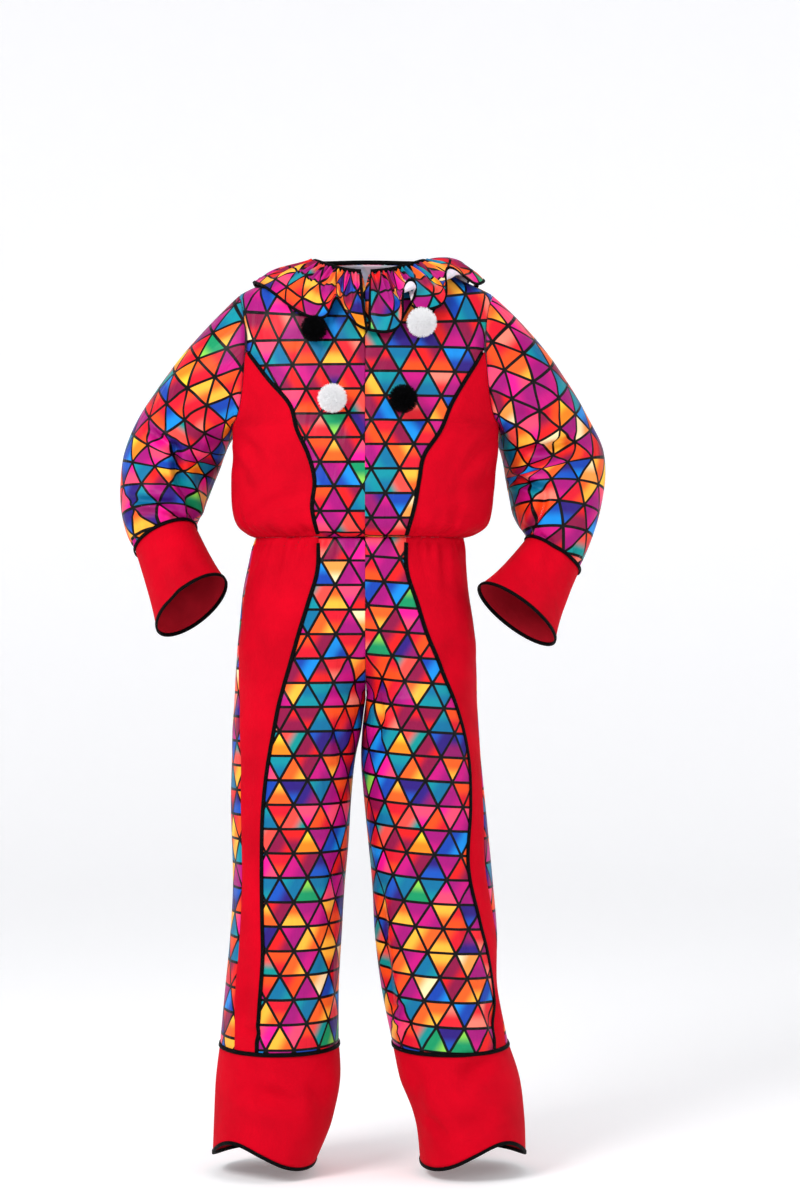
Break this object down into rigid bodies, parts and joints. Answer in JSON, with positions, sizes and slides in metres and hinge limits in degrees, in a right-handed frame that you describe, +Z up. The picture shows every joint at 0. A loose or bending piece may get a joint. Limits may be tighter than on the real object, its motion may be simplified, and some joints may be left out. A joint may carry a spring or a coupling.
{
  "type": "clown suit",
  "caption": "One-piece clown jumpsuit filled out as worn, with a pleated collar ruffle, wide sleeves with flared cuffs, gathered waist, wide legs and fluffy pompoms on the chest.",
  "frame": {"origin": "between the shoulders, on the wearer's shoulder line", "axes": "+Z up along the suit's length, -Y the front, +X the wearer's left side"},
  "size_m": [0.817, 0.3452, 1.5139],
  "materials": {
    "printed_satin": "satin",
    "red_polyester": "matt",
    "black_bias_tape": "matt",
    "white_yarn": "fluffy",
    "black_yarn": "fluffy",
    "zip_tape": "matt"
  },
  "bodies": {
    "root": {"bodice_back": "printed_satin", "bodice_front_centre_left": "printed_satin", "bodice_front_centre_right": "printed_satin", "bodice_front_side_left": "red_polyester", "bodice_front_side_right": "red_polyester", "bodice_piping_left": "black_bias_tape", "bodice_piping_right": "black_bias_tape", "collar_edge_binding": "black_bias_tape", "collar_ruffle": "printed_satin", "cuff_binding_left": "black_bias_tape", "cuff_binding_right": "black_bias_tape", "cuff_left": "red_polyester", "cuff_piping_left": "black_bias_tape", "cuff_piping_right": "black_bias_tape", "cuff_right": "red_polyester", "hem_band_left": "red_polyester", "hem_band_right": "red_polyester", "hem_binding_left": "black_bias_tape", "hem_binding_right": "black_bias_tape", "hem_piping_left": "black_bias_tape", "hem_piping_right": "black_bias_tape", "neck_binding": "black_bias_tape", "pompom_lower_left": "black_yarn", "pompom_lower_right": "white_yarn", "pompom_upper_left": "white_yarn", "pompom_upper_right": "black_yarn", "sleeve_left": "printed_satin", "sleeve_right": "printed_satin", "trouser_back_left": "printed_satin", "trouser_back_right": "printed_satin", "trouser_front_centre_left": "printed_satin", "trouser_front_centre_right": "printed_satin", "trouser_front_side_left": "red_polyester", "trouser_front_side_right": "red_polyester", "trouser_piping_left": "black_bias_tape", "trouser_piping_right": "black_bias_tape", "zip_tape": "zip_tape"}
  },
  "joints": []
}
